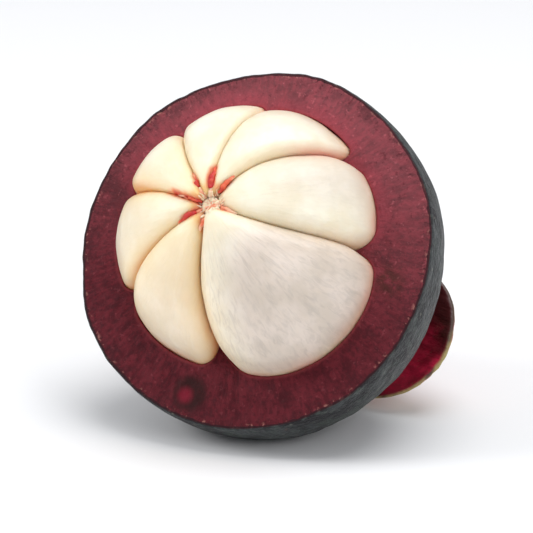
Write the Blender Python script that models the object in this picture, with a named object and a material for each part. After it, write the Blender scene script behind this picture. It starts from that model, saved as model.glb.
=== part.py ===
"""A ripe mangosteen, opened by cutting away the lower cap of its rind.

The fruit lies back on its skin and one sepal, so that the seven white segments face forward and up.
Each piece is modelled in the fruit's own frame: +Z runs along the fruit's axis, from the stem to the cut,
and the origin is at the middle of the whole fruit. An empty then leans the fruit back, to stand on Z = 0.
"""

import math

import bmesh
import bpy
import numpy as np
from mathutils import Matrix, Vector

# The whole fruit, in metres
FRUIT_RADIUS = 0.0299
FRUIT_HALF_HEIGHT = 0.027
CUT_HEIGHT = 0.0034  # the cut face, above the middle of the fruit
LEAN = math.radians(60)  # from upright to lying back
REST_FLAT = 0.0006  # how far the skin and the sepal that it lies on are pressed flat
GAP = 0.0003  # between pieces that touch
HOLLOW_GAP = 0.00036  # between the segments and the rind

# The cluster of segments
CLUSTER_CENTRE = (-0.0015, 0.0015, 0.0010)
CLUSTER_RADII = (0.0226, 0.0223, 0.0178)
CORE_TOP = (-0.0032, 0.0031, 0.0172)
CORE_BOTTOM = (-0.0015, 0.0015, -0.0150)
CORE_RADIUS = 0.0015
CORE_CHANNEL = 0.0036
TIP_ROUNDING = 0.0010  # of the segments' edges by the core, which grows to the seam's own rounding
ROUNDING_REACH = 0.0140  # how far from the core it gets there
# Seams between segments: azimuth in degrees, distance from the axis at the cut, sideways bow, edge rounding
SEAMS = (
    (5, 0.0192, -0.0009, 0.0036),
    (50, 0.0208, 0.0030, 0.0032),
    (95, 0.0225, 0.0010, 0.0018),
    (131, 0.0229, 0.0, 0.0026),
    (164, 0.0229, -0.0003, 0.0030),
    (207, 0.0204, -0.0008, 0.0034),
    (263, 0.0178, -0.0014, 0.0050),
)
# Segments, each starting at the seam of the same number: swelling beyond the cluster at its seams,
# further swelling along its middle, distance from the core to its centre
SEGMENTS = (
    (-0.0015, 0.0008, 0.0115),
    (-0.0007, 0.0006, 0.0125),
    (-0.0005, 0.0008, 0.0135),
    (-0.0004, 0.0008, 0.0140),
    (-0.0010, 0.0007, 0.0130),
    (-0.0009, 0.0005, 0.0110),
    (-0.0018, 0.0035, 0.0090),
)
SEGMENT_SIDES = 76
SEGMENT_RINGS = 46
SEGMENT_SHARE = 0.15  # of a segment's triangles that are kept, fewest where it is flattest

# The calyx
STEM_LENGTH = 0.0160
COLLAR_RADIUS = 0.0042
COLLAR_HEIGHT = 0.0020
COLLAR_SLOPE = 0.0010
STEM_RADIUS = 0.0034
FLARE_LENGTH = 0.0056  # where the stem widens towards its cut end
STEM_END_RADIUS = 0.0042
STEM_END_BEVEL = 0.0004
PITH_RADIUS = 0.0025  # of the hollow in the cut end
PITH_DEPTH = 0.0010
SEPAL_BASE = (0.0048, -0.0284)  # distance from the axis, height
SEPAL_THICKNESS = 0.0025
SEPAL_EDGE = 0.0009
SEPAL_WIDEST = 0.54  # of its length, from its base
SEPAL_TAPER = 0.22  # of its width, lost towards its base
BASE_BLUNTNESS = 0.75
# name: azimuth, length, half width, heading at the base and at the tip in degrees, cupping
SEPALS = {
    "sepal_outer_right": (-18, 0.0250, 0.0118, 12, -42, 0.0036),
    "sepal_outer_left": (162, 0.0240, 0.0124, 14, -58, 0.0046),
    "sepal_inner_top": (72, 0.0212, 0.0110, 16, -60, 0.0042),
    "sepal_inner_bottom": (-102, 0.0172, 0.0094, 16, -58, 0.0018),
}

COLOURS = {
    "rind": ((0.120, 0.020, 0.028, 1), 0.55),
    "segment": ((0.870, 0.780, 0.640, 1), 0.35),
    "core": ((0.760, 0.330, 0.200, 1), 0.60),
    "sepal": ((0.340, 0.110, 0.080, 1), 0.50),
    "stem": ((0.300, 0.260, 0.060, 1), 0.65),
}


def clear_scene():
    for thing in list(bpy.data.objects):
        bpy.data.objects.remove(thing, do_unlink=True)


def material(name):
    made = bpy.data.materials.new(name)
    made.use_nodes = True
    shader = made.node_tree.nodes["Principled BSDF"]
    colour, roughness = COLOURS[name]
    shader.inputs["Base Color"].default_value = colour
    shader.inputs["Roughness"].default_value = roughness
    shader.inputs["Metallic"].default_value = 0.0
    return made


def add_object(name, mesh_data, finish, parent):
    """A smooth-shaded object made of a bmesh, which is freed."""
    bmesh.ops.recalc_face_normals(mesh_data, faces=mesh_data.faces)
    mesh = bpy.data.meshes.new(name)
    mesh_data.to_mesh(mesh)
    mesh_data.free()
    mesh.shade_smooth()
    mesh.set_sharp_from_angle(angle=math.radians(40))
    if finish:
        mesh.materials.append(finish)
    made = bpy.data.objects.new(name, mesh)
    bpy.context.scene.collection.objects.link(made)
    made.parent = parent
    return made


def closed_rings(rings, first_pole, last_pole):
    """A closed bmesh through rings of points, ending in a point or, where a pole is None, in a flat cap."""
    shape = bmesh.new()
    made = [[shape.verts.new(point) for point in ring] for ring in rings]
    for lower, upper in zip(made, made[1:]):
        for i in range(len(lower)):
            j = (i + 1) % len(lower)
            shape.faces.new((lower[i], lower[j], upper[j]))
            shape.faces.new((lower[i], upper[j], upper[i]))
    for ring, pole in ((made[0], first_pole), (made[-1], last_pole)):
        if pole is None:
            shape.faces.new(ring)
            continue
        tip = shape.verts.new(pole)
        for i in range(len(ring)):
            shape.faces.new((tip, ring[i], ring[(i + 1) % len(ring)]))
    return shape


def turned(profile, sides, start=(0, 0, 0), axis=(0, 0, 1)):
    """A closed bmesh turned about an axis, with flat ends: profile is (radius, distance along the axis)."""
    lean = Vector((0, 0, 1)).rotation_difference(Vector(axis)).to_matrix()
    rings = []
    for radius, along in profile:
        angles = [2 * math.pi * i / sides for i in range(sides)]
        flat = [Vector((radius * math.cos(a), radius * math.sin(a), along)) for a in angles]
        rings.append([Vector(start) + lean @ point for point in flat])
    return closed_rings(rings, None, None)


def floor_plane():
    """A point on the floor and its upward normal, in the fruit's frame."""
    up = Vector((0, math.sin(LEAN), math.cos(LEAN)))
    lowest = math.hypot(FRUIT_RADIUS * up.y, FRUIT_HALF_HEIGHT * up.z)
    return -(lowest - REST_FLAT) * up, up


def cut_away(shape, point, outward):
    """Removes what lies beyond a plane and closes the cut with a flat face."""
    everything = shape.verts[:] + shape.edges[:] + shape.faces[:]
    cut = bmesh.ops.bisect_plane(
        shape, geom=everything, plane_co=point, plane_no=outward, clear_outer=True, dist=1e-7
    )
    edges = [item for item in cut["geom_cut"] if isinstance(item, bmesh.types.BMEdge)]
    if edges:
        bmesh.ops.contextual_create(shape, geom=edges)


# The segments ---------------------------------------------------------------------------------------------


def core_at(height):
    """The core line's place across the axis, at these heights."""
    top, bottom = np.array(CORE_TOP), np.array(CORE_BOTTOM)
    share = (np.asarray(height) - bottom[2]) / (top[2] - bottom[2])
    return bottom[:2] + share[..., None] * (top[:2] - bottom[:2])


def seam_side(points, seam):
    """Signed distance to a seam's curved sheet: positive on its counter-clockwise side."""
    azimuth, reach, bow, _ = seam
    start = core_at(CUT_HEIGHT)
    end = reach * np.array([math.cos(math.radians(azimuth)), math.sin(math.radians(azimuth))])
    length = np.linalg.norm(end - start)
    along = (end - start) / length
    across = np.array([-along[1], along[0]])
    offset = points[:, :2] - core_at(points[:, 2])
    share = offset @ along / length
    return offset @ across - 4 * bow * share * (1 - share)


def cluster_side(points, swell):
    """Signed distance to the ellipsoid round the cluster, swollen at each point, positive outside."""
    radii = np.array(CLUSTER_RADII) + swell[:, None]
    offset = points - np.array(CLUSTER_CENTRE)
    reach = np.linalg.norm(offset / radii, axis=1)
    slope = np.linalg.norm(offset / radii**2, axis=1)
    return reach * (reach - 1) / np.maximum(slope, 1e-9)


def rounded_overlap(distances, rounding):
    """Signed distance to what lies inside all of several surfaces, with rounded edges where they meet."""
    pushed = sum(np.maximum(0, distance + rounding) ** 2 for distance in distances)
    deep = np.minimum(0, np.maximum.reduce(distances) + rounding)
    return np.sqrt(pushed) + deep - rounding


def segment_side(points, number):
    """Signed distance to a segment's surface: the cluster between two seams, outside the core."""
    first, last = SEAMS[number], SEAMS[(number + 1) % len(SEAMS)]
    past_first, before_last = seam_side(points, first), -seam_side(points, last)
    from_core = np.linalg.norm(points[:, :2] - core_at(points[:, 2]), axis=1)
    share = np.clip(past_first / np.maximum(past_first + before_last, 1e-9), 0, 1)
    at_seams, in_middle, _ = SEGMENTS[number]
    swell = at_seams + in_middle * 4 * share * (1 - share)
    own = first[3] + (last[3] - first[3]) * share
    rounding = TIP_ROUNDING + (own - TIP_ROUNDING) * np.minimum(1, from_core / ROUNDING_REACH)
    sides = (
        GAP / 2 - past_first,
        GAP / 2 - before_last,
        CORE_RADIUS + GAP - from_core,
        cluster_side(points, swell),
    )
    return rounded_overlap(sides, rounding)


def segment_frame(number):
    """A point well inside the segment, and three axes as long as it reaches outwards, sideways and up."""
    start, end = SEAMS[number][0], SEAMS[(number + 1) % len(SEAMS)][0]
    half = math.radians((end - start) % 360 / 2)
    middle = math.radians(start) + half
    outwards = np.array([math.cos(middle), math.sin(middle), 0.0])
    sideways = np.array([-outwards[1], outwards[0], 0.0])
    out = SEGMENTS[number][2]
    centre = np.append(core_at(0.0), 0.0) + out * outwards
    reach = CLUSTER_RADII[0] - out
    return centre, np.array([reach * outwards, out * math.sin(half) * sideways, [0.0, 0.0, CLUSTER_RADII[2]]])


def segment_surface(number, ball, grow):
    """A unit ball's points moved to the segment's surface, along rays from its centre, and out by grow."""
    centre, axes = segment_frame(number)
    directions = ball @ axes
    directions /= np.linalg.norm(directions, axis=1)[:, None]
    near, far = np.zeros(len(directions)), np.full(len(directions), 2 * FRUIT_RADIUS)
    for _ in range(40):
        middle = (near + far) / 2
        inside = segment_side(centre + directions * middle[:, None], number) < grow
        near, far = np.where(inside, middle, near), np.where(inside, far, middle)
    return centre + directions * near[:, None]


def segment_shape(number, grow=0.0):
    rings = []
    for i in range(1, SEGMENT_RINGS):
        tilt = math.pi * i / SEGMENT_RINGS
        turn = 2 * np.pi * np.arange(SEGMENT_SIDES) / SEGMENT_SIDES
        level = np.full_like(turn, math.cos(tilt))
        ring = np.stack([math.sin(tilt) * np.cos(turn), math.sin(tilt) * np.sin(turn), level], axis=1)
        rings.append(segment_surface(number, ring, grow))
    poles = segment_surface(number, np.array([[0.0, 0.0, 1.0], [0.0, 0.0, -1.0]]), grow)
    return closed_rings(rings, poles[0], poles[1])


def thin(made):
    """Leaves out most of a finely modelled segment's triangles."""
    fewer = made.modifiers.new("fewer_triangles", "DECIMATE")
    fewer.ratio = SEGMENT_SHARE
    fewer.use_collapse_triangulate = True


def add_segments(finish, parent):
    for number in range(len(SEGMENTS)):
        thin(add_object(f"segment_{number + 1}", segment_shape(number), finish, parent))


# The rind -------------------------------------------------------------------------------------------------


def rind_body():
    """The fruit below the cut, solid, with the flat spot that it lies on."""
    shape = bmesh.new()
    bmesh.ops.create_uvsphere(shape, u_segments=56, v_segments=28, radius=1.0)
    bmesh.ops.scale(shape, vec=(FRUIT_RADIUS, FRUIT_RADIUS, FRUIT_HALF_HEIGHT), verts=shape.verts)
    cut_away(shape, Vector((0, 0, CUT_HEIGHT)), Vector((0, 0, 1)))
    floor, up = floor_plane()
    cut_away(shape, floor, -up)
    return shape


def cutter(name, shape, parent):
    made = add_object(name, shape, None, parent)
    made.hide_render = True
    made.display_type = "WIRE"
    return made


def add_rind(finish, parent):
    """The rind: the body less a hollow for each segment and for the core."""
    rind = add_object("rind", rind_body(), finish, parent)
    hollows = []
    for number in range(len(SEGMENTS)):
        hollows.append(cutter(f"segment_hollow_{number + 1}", segment_shape(number, grow=HOLLOW_GAP), parent))
        thin(hollows[-1])
    axis = Vector(CORE_TOP) - Vector(CORE_BOTTOM)
    channel = turned([(CORE_CHANNEL, -GAP), (CORE_CHANNEL, axis.length)], 20, CORE_BOTTOM, axis)
    hollows.append(cutter("core_hollow", channel, parent))
    for hollow in hollows:
        cut = rind.modifiers.new(hollow.name, "BOOLEAN")
        cut.operation = "DIFFERENCE"
        cut.solver = "EXACT"
        cut.object = hollow


def add_core(finish, parent):
    """The fibrous column between the segments, with a rounded head."""
    axis = Vector(CORE_TOP) - Vector(CORE_BOTTOM)
    profile = [(CORE_RADIUS, 0), (CORE_RADIUS, axis.length - CORE_RADIUS)]
    for step in (30, 60, 80):
        bend = math.radians(step)
        profile.append((CORE_RADIUS * math.cos(bend), axis.length - CORE_RADIUS * (1 - math.sin(bend))))
    add_object("core", turned(profile, 16, CORE_BOTTOM, axis), finish, parent)


# The calyx and stem ---------------------------------------------------------------------------------------


def sepal_point(sepal, along, aside, lift):
    """A point of a sepal: along and aside are distances on its middle sheet, lift is away from the fruit."""
    azimuth, length, half_width, base_heading, tip_heading, cupping = sepal
    start, end = math.radians(base_heading), math.radians(tip_heading)
    bend = (end - start) / length
    heading = start + bend * along
    out = SEPAL_BASE[0] + (math.sin(heading) - math.sin(start)) / bend
    height = SEPAL_BASE[1] + (math.cos(heading) - math.cos(start)) / bend
    lift = lift - cupping * (aside / half_width) ** 2
    out -= lift * math.sin(heading)
    height -= lift * math.cos(heading)
    turn = Matrix.Rotation(math.radians(azimuth), 3, "Z")
    return turn @ Vector((out, aside, height))


def blunted(share):
    """Pushes the base half of a round outline, where share is negative, towards a squarer end."""
    return -(abs(share) ** BASE_BLUNTNESS) if share < 0 else share


def sepal_shape(sepal, rings=6, sides=24):
    """A cupped round blade, thickest in the middle, narrower towards its base."""
    length, half_width = sepal[1], sepal[2]
    middle = SEPAL_WIDEST * length
    sheets = {1: [], -1: []}
    for face, made in sheets.items():
        for ring in range(rings, 0, -1):
            share = ring / rings
            half_thickness = (SEPAL_EDGE + (SEPAL_THICKNESS - SEPAL_EDGE) * (1 - share**3)) / 2
            points = []
            for side in range(sides):
                turn = 2 * math.pi * side / sides
                reach = length - middle if math.cos(turn) > 0 else middle
                along = middle + share * reach * blunted(math.cos(turn))
                taper = 1 - SEPAL_TAPER * max(0, 1 - along / middle) ** 2
                aside = share * half_width * taper * math.sin(turn)
                points.append(sepal_point(sepal, along, aside, face * half_thickness))
            made.append(points)
    tips = [sepal_point(sepal, middle, 0, face * SEPAL_THICKNESS / 2) for face in (1, -1)]
    return closed_rings(sheets[1][::-1] + sheets[-1], tips[0], tips[1])


def add_calyx(parent):
    finish = material("sepal")
    floor, up = floor_plane()
    for name, sepal in SEPALS.items():
        shape = sepal_shape(sepal)
        cut_away(shape, floor, -up)
        add_object(name, shape, finish, parent)


def add_stem(finish, parent):
    """The stem, which flares to a hollowed end, and the collar that the sepals sit round."""
    collar = FRUIT_HALF_HEIGHT + GAP
    neck = collar + COLLAR_HEIGHT
    end = collar + STEM_LENGTH
    profile = [
        (COLLAR_RADIUS, collar),
        (COLLAR_RADIUS, neck - COLLAR_SLOPE / 2),
        (STEM_RADIUS, neck + COLLAR_SLOPE / 2),
        (STEM_RADIUS, end - FLARE_LENGTH),
        (STEM_END_RADIUS, end - 2 * STEM_END_BEVEL),
        (STEM_END_RADIUS - STEM_END_BEVEL, end),
        (PITH_RADIUS, end),
        (PITH_RADIUS - PITH_DEPTH, end - PITH_DEPTH),
    ]
    add_object("stem", turned(profile, 24, axis=(0, 0, -1)), finish, parent)


def stand_on_floor(fruit):
    """Leans the fruit back, with its lowest point on Z = 0 and the middle of its outline on the Z axis."""
    fruit.rotation_euler = (LEAN, 0, 0)
    bpy.context.view_layer.update()
    graph = bpy.context.evaluated_depsgraph_get()
    corners = []
    for piece in fruit.children:
        if piece.type == "MESH" and not piece.hide_render:
            shown = piece.evaluated_get(graph)
            corners += [shown.matrix_world @ vertex.co for vertex in shown.data.vertices]
    low = Vector([min(corner[axis] for corner in corners) for axis in range(3)])
    high = Vector([max(corner[axis] for corner in corners) for axis in range(3)])
    fruit.location = (-(low.x + high.x) / 2, -(low.y + high.y) / 2, -low.z)


def main():
    clear_scene()
    fruit = bpy.data.objects.new("fruit", None)
    bpy.context.scene.collection.objects.link(fruit)
    add_rind(material("rind"), fruit)
    add_segments(material("segment"), fruit)
    add_core(material("core"), fruit)
    add_calyx(fruit)
    add_stem(material("stem"), fruit)
    stand_on_floor(fruit)


main()
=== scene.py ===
"""The looks of a mangosteen that is cut open: a finely modelled piece and a material for every CAD node.

Every piece is modelled in the fruit's own frame, like its CAD node: +Z runs along the fruit's axis
from the stem to the cut face, and the origin is at the middle of the whole fruit. PLACE then leans
it back onto the floor. Lengths are in metres.
"""

import math

import bpy
import numpy as np
from mathutils import Matrix, Vector


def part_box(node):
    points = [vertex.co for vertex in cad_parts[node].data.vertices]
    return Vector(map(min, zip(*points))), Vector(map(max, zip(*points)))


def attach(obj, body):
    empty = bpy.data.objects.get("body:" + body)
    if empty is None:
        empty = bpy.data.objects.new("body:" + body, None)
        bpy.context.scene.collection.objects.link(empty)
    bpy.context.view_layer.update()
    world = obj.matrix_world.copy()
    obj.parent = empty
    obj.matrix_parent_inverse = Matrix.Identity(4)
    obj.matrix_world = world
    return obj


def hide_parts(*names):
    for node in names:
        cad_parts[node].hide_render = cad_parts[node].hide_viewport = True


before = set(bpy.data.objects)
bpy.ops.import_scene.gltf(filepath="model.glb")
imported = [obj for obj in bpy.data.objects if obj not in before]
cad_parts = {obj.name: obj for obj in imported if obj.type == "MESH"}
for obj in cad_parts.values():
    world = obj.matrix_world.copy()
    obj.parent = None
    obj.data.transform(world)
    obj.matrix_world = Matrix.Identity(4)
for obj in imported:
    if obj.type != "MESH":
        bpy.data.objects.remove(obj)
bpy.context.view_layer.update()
RIND_LOW, RIND_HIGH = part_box("rind")

# The fruit, as in the CAD ---------------------------------------------

FRUIT_RADIUS = (RIND_HIGH.x - RIND_LOW.x) / 2
FRUIT_HALF_HEIGHT = 0.027
CUT_HEIGHT = 0.0034
FACE_RADIUS = FRUIT_RADIUS * math.sqrt(1 - (CUT_HEIGHT / FRUIT_HALF_HEIGHT) ** 2)
LEAN = math.radians(60)
REST_FLAT = 0.0006  # how far the skin is pressed flat

CLUSTER_CENTRE = (-0.0015, 0.0015, 0.0010)
CLUSTER_RADII = (0.0226, 0.0223, 0.0178)
CORE_TOP = (-0.0032, 0.0031, 0.0172)
CORE_BOTTOM = (-0.0015, 0.0015, -0.0150)
CORE_RADIUS = 0.0015
CORE_CHANNEL = 0.0036
TIP_ROUNDING = 0.0010  # of the segments' edges by the core, which grows to the seam's own rounding
ROUNDING_REACH = 0.0140  # how far from the core it gets there
# Seams between segments: azimuth in degrees, length from the axis at the cut, sideways bow, rounding
SEAMS = (
    (5, 0.0192, -0.0009, 0.0036),
    (50, 0.0208, 0.0030, 0.0032),
    (95, 0.0225, 0.0010, 0.0018),
    (131, 0.0229, 0.0, 0.0026),
    (164, 0.0229, -0.0003, 0.0030),
    (207, 0.0204, -0.0008, 0.0034),
    (263, 0.0178, -0.0014, 0.0050),
)
# Segments, each starting at the seam of the same number: swelling beyond the cluster at its seams,
# further swelling along its middle, distance from the core to its centre
SEGMENTS = (
    (-0.0015, 0.0008, 0.0115),
    (-0.0007, 0.0006, 0.0125),
    (-0.0005, 0.0008, 0.0135),
    (-0.0004, 0.0008, 0.0140),
    (-0.0010, 0.0007, 0.0130),
    (-0.0009, 0.0005, 0.0110),
    (-0.0018, 0.0035, 0.0090),
)
STEM_LENGTH = 0.0160
COLLAR_RADIUS = 0.0042
STEM_RADIUS = 0.0034
STEM_END_RADIUS = 0.0042
SEPAL_BASE = (0.0048, -0.0284)  # distance from the axis, height
SEPAL_THICKNESS = 0.0025
SEPAL_EDGE = 0.0009
SEPAL_WIDEST = 0.54  # of its length, from its base
SEPAL_TAPER = 0.22  # of its width, lost towards its base
BASE_BLUNTNESS = 0.75
# name: azimuth, length, half width, heading at the base and at the tip in degrees, cupping
SEPALS = {
    "sepal_outer_right": (-18, 0.0250, 0.0118, 12, -42, 0.0036),
    "sepal_outer_left": (162, 0.0240, 0.0124, 14, -58, 0.0046),
    "sepal_inner_top": (72, 0.0212, 0.0110, 16, -60, 0.0042),
    "sepal_inner_bottom": (-102, 0.0172, 0.0094, 16, -58, 0.0018),
}

# The upward direction, and how far the fruit's middle is from the floor and from its foremost point
UP = np.array([0.0, math.sin(LEAN), math.cos(LEAN)])
FLOOR_DISTANCE = math.hypot(FRUIT_RADIUS * UP[1], FRUIT_HALF_HEIGHT * UP[2]) - REST_FLAT
FRONT = FACE_RADIUS * math.cos(LEAN) + CUT_HEIGHT * math.sin(LEAN)
FRUIT_MIDDLE = Vector(((RIND_LOW.x + RIND_HIGH.x) / 2, RIND_LOW.y + FRONT, RIND_LOW.z + FLOOR_DISTANCE))
PLACE = Matrix.Translation(FRUIT_MIDDLE) @ Matrix.Rotation(LEAN, 4, "X")

# What the fine model adds to it ---------------------------------------

MM = 0.001
SEGMENT_GAP = 0.00003  # between segments that press on each other
HOLLOW_GAP = 0.00012  # between a segment and the rind
# How far neighbouring segments are pressed together, which makes the grooves between them shallower:
PRESSED = 0.0003
PRESSED_SHARE = 0.09  # and as much more, of the rounding of their edges
PRESSED_HEIGHT = 0.0080  # from the cut face, where they are not pressed, up to here
RIND_COLUMNS = 600  # round the rind, and rows up its skin, across its cut face and down its hollow:
SKIN_ROWS = 100
FACE_ROWS = 24
HOLLOW_ROWS = 28
FAR = 20.0  # stands for a distance in mm from the cut face's edges, at points that are not on it
NARROWEST_HOLLOW = 0.008  # from the core to the hollow's wall
RIM_BEVEL = 0.00013
SEARCH_STEPS = 36  # halvings that find where a ray meets a surface
LAYING_STEPS = 30  # halvings that find where a strand lies
# Marks on the cut face
BRUISE = (-0.0070, -0.0250, CUT_HEIGHT)
BRUISE_RING = (-0.0063, -0.0246, CUT_HEIGHT)
SMUDGE = (0.0232, -0.0030, CUT_HEIGHT)
# Fibres that run out from the core: how fine round it, per radian, and along them, per metre
SEGMENT_GRAIN = (26.0, 260.0)
FLESH_GRAIN = (34.0, 420.0)
FLESH_TICKS = (60.0, 700.0)


# Numbers --------------------------------------------------------------


def ripples(points, size, seed, count=26):
    """Smooth random relief, mostly between -1 and 1, with bumps about size across."""
    chance = np.random.default_rng(seed)
    rates = chance.normal(size=(count, 3))
    rates *= (chance.uniform(0.6, 1.4, count) * math.pi / size / np.linalg.norm(rates, axis=1))[:, None]
    phases = chance.uniform(0, 2 * math.pi, count)
    return np.cos(points @ rates.T + phases).sum(axis=1) / math.sqrt(count)


def smooth(value, low, high):
    """0 below low, 1 above high, and an even slope between."""
    share = np.clip((value - low) / (high - low), 0, 1)
    return share * share * (3 - 2 * share)


def circle(count):
    """Angles evenly round a circle."""
    return 2 * np.pi * np.arange(count) / count


def pressed(points):
    """The points, with those that would lie under the floor moved up onto it."""
    height = points @ UP + FLOOR_DISTANCE
    return points + np.maximum(0, -height)[:, None] * UP


# Meshes ---------------------------------------------------------------


def ring_mesh(name, rings, first_pole, last_pole):
    """A closed mesh of quads through rings of points, which ends in a point at both ends."""
    sides = len(rings[0])
    points = np.vstack([[first_pole], *rings, [last_pole]])
    start = 1 + sides * np.arange(len(rings))[:, None]
    here = start + np.arange(sides)
    beside = start + (np.arange(sides) + 1) % sides
    quads = np.stack([here[:-1], beside[:-1], beside[1:], here[1:]], axis=-1).reshape(-1, 4)
    first = np.stack([np.zeros(sides, int), beside[0], here[0]], axis=-1)
    last = np.stack([here[-1], beside[-1], np.full(sides, len(points) - 1)], axis=-1)
    mesh = bpy.data.meshes.new(name)
    mesh.from_pydata(points, [], first.tolist() + quads.tolist() + last.tolist())
    corners = points[quads]
    outward = np.cross(corners[:, 1] - corners[:, 0], corners[:, 2] - corners[:, 0])
    if (outward * corners[:, 0]).sum() < 0:
        mesh.flip_normals()
    mesh.shade_smooth()
    return mesh


def joined(name, meshes):
    """One mesh of several, with the stored values that they all have."""
    points, faces, stored, first = [], [], {}, 0
    for mesh in meshes:
        points.append(points_of(mesh))
        faces += [[first + v for v in face.vertices] for face in mesh.polygons]
        for layer in mesh.attributes:
            if layer.data_type == "FLOAT" and layer.domain == "POINT":
                stored.setdefault(layer.name, []).append(read(mesh, layer.name))
        first += len(mesh.vertices)
        bpy.data.meshes.remove(mesh)
    made = bpy.data.meshes.new(name)
    made.from_pydata(np.vstack(points), [], faces)
    for key, values in stored.items():
        store(made, key, np.concatenate(values))
    made.shade_smooth()
    return made


def points_of(mesh):
    points = np.empty(len(mesh.vertices) * 3)
    mesh.vertices.foreach_get("co", points)
    return points.reshape(-1, 3)


def store(mesh, name, values):
    """Stores a number, or a vector, at each point, for the material to read."""
    vector = np.ndim(values) == 2
    layer = mesh.attributes.new(name, "FLOAT_VECTOR" if vector else "FLOAT", "POINT")
    layer.data.foreach_set("vector" if vector else "value", np.asarray(values, np.float32).ravel())


def store_rows(mesh, name, rows, first, last):
    """Stores a row of numbers for each ring, and one for the point at each end."""
    store(mesh, name, np.concatenate([[first], *rows, [last]]))


def read(mesh, name):
    values = np.empty(len(mesh.vertices), np.float32)
    mesh.attributes[name].data.foreach_get("value", values)
    return values


def add_piece(name, mesh, nodes, finishes):
    """Places a mesh as a piece of the fruit that stands for CAD nodes."""
    for finish in finishes:
        mesh.materials.append(finish)
    mesh.transform(PLACE)
    piece = bpy.data.objects.new(name, mesh)
    bpy.context.scene.collection.objects.link(piece)
    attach(piece, "root")
    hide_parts(*nodes)


# Finishes -------------------------------------------------------------


def linear(level):
    """The light that a screen level from 0 to 255 stands for."""
    share = level / 255
    return share / 12.92 if share < 0.0404 else ((share + 0.055) / 1.055) ** 2.4


def shade(red, green, blue):
    """A colour given as a screen shows it, as the shader takes it."""
    return (linear(red), linear(green), linear(blue), 1.0)


class Finish:
    """A material's nodes. Each method adds a node and returns its output."""

    def __init__(self, name, **sockets):
        self.material = bpy.data.materials.new(name)
        self.material.use_nodes = True
        self.tree = self.material.node_tree
        self.shader = self.tree.nodes["Principled BSDF"]
        for key, value in sockets.items():
            socket = key.replace("_", " ").title().replace("Ior", "IOR")
            self.shader.inputs[socket].default_value = value

    def feed(self, socket, value):
        if isinstance(value, bpy.types.NodeSocket):
            self.tree.links.new(value, socket)
        else:
            socket.default_value = value

    def node(self, kind, output, inputs, **settings):
        made = self.tree.nodes.new(kind)
        for key, value in settings.items():
            setattr(made, key, value)
        for key, value in inputs.items():
            self.feed(made.inputs[key], value)
        return made.outputs[output]

    def place(self):
        return self.node("ShaderNodeTexCoord", "Object", {})

    def stored(self, name, output="Fac"):
        return self.node("ShaderNodeAttribute", output, {}, attribute_name=name)

    def noise(self, size, detail=3.0, where=None, roughness=0.55, distortion=0.0):
        inputs = {
            "Vector": where or self.place(),
            "Scale": 1 / size,
            "Detail": detail,
            "Roughness": roughness,
            "Distortion": distortion,
        }
        return self.node("ShaderNodeTexNoise", "Fac", inputs)

    def cells(self, size):
        """The distance from points scattered about this far apart."""
        return self.node("ShaderNodeTexVoronoi", "Distance", {"Vector": self.place(), "Scale": 1 / size})

    def stretched(self, factors):
        """The place with each axis scaled, for marks that are long one way."""
        inputs = {0: self.place(), 1: factors}
        return self.node("ShaderNodeVectorMath", 0, inputs, operation="MULTIPLY")

    def near(self, point, reach, full=0.0):
        """1 up to full from a point and 0 further than reach from it."""
        ends = {0: self.place(), 1: point}
        away = self.node("ShaderNodeVectorMath", "Value", ends, operation="DISTANCE")
        return self.between(away, reach, full)

    def between(self, value, low, high):
        """0 at low and 1 at high, with an even slope between, which may run downwards."""
        inputs = {"Value": value, "From Min": low, "From Max": high}
        return self.node("ShaderNodeMapRange", 0, inputs, interpolation_type="SMOOTHSTEP")

    def scaled(self, value, low, high):
        """A value from 0 to 1 spread evenly from low to high."""
        return self.node("ShaderNodeMapRange", 0, {"Value": value, "To Min": low, "To Max": high})

    def maths(self, operation, first, second):
        return self.node("ShaderNodeMath", 0, {0: first, 1: second}, operation=operation)

    def times(self, first, *others):
        for other in others:
            first = self.maths("MULTIPLY", first, other)
        return first

    def plus(self, first, second):
        return self.maths("ADD", first, second)

    def mix(self, share, first, second):
        """The first colour, with this share of it replaced by the second."""
        return self.node("ShaderNodeMix", 2, {0: share, 6: first, 7: second}, data_type="RGBA")

    def over(self, colour, share, strength, *tint):
        """The colour, with a screen colour laid over it by share and strength."""
        return self.mix(self.times(share, strength), colour, shade(*tint))

    def relief(self, height, depth, below=None):
        """A normal for bumps of this depth, on top of those below."""
        inputs = {"Height": height, "Distance": depth, "Strength": 1.0}
        if below:
            inputs["Normal"] = below
        return self.node("ShaderNodeBump", "Normal", inputs)

    def wear(self, colour=None, roughness=None, normal=None):
        for socket, value in (("Base Color", colour), ("Roughness", roughness), ("Normal", normal)):
            if value is not None:
                self.feed(self.shader.inputs[socket], value)
        return self.material


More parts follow.
